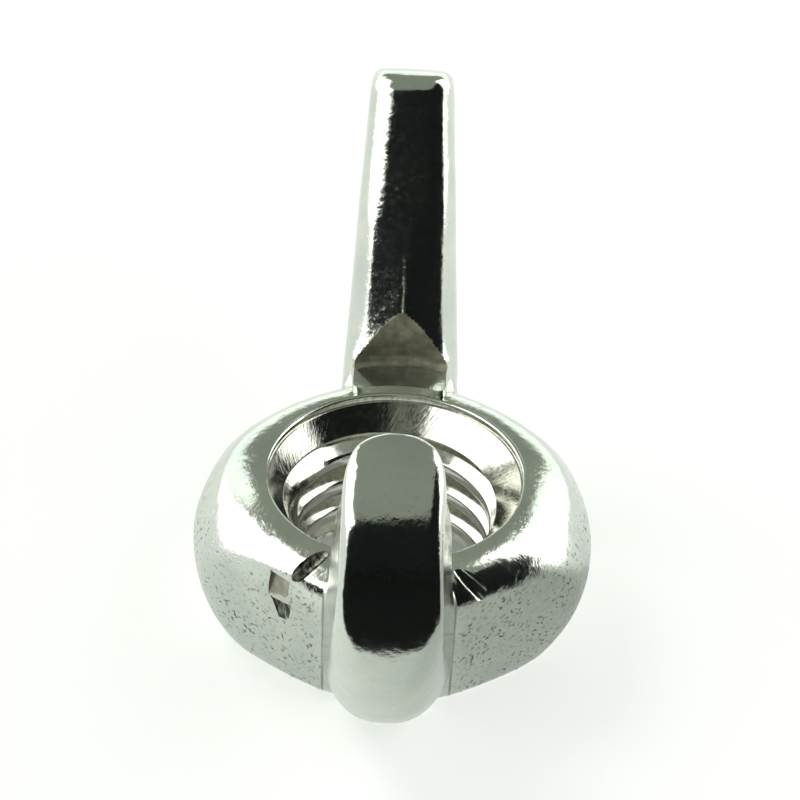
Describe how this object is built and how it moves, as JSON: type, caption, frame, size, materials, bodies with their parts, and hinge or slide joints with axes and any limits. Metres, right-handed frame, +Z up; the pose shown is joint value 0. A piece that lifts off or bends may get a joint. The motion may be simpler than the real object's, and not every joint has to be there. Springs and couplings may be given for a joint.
{
  "type": "wing nut",
  "caption": "One-piece forged wing nut: round hub with a tapped through bore and countersunk mouth, and rounded wings to turn it by hand.",
  "frame": {"origin": "centre of the flat base face, on the axis of the threaded bore", "axes": "+Z up the bore, out of the countersunk mouth between the wings; the wings stand in the YZ plane, on +Y and -Y"},
  "size_m": [0.0144, 0.0274, 0.0159],
  "materials": {
    "plated_steel": "bright nickel-like plating over a slightly uneven forged surface, pitted on the hub's flanks"
  },
  "bodies": {
    "root": {"wing_nut": "plated_steel"}
  },
  "joints": []
}
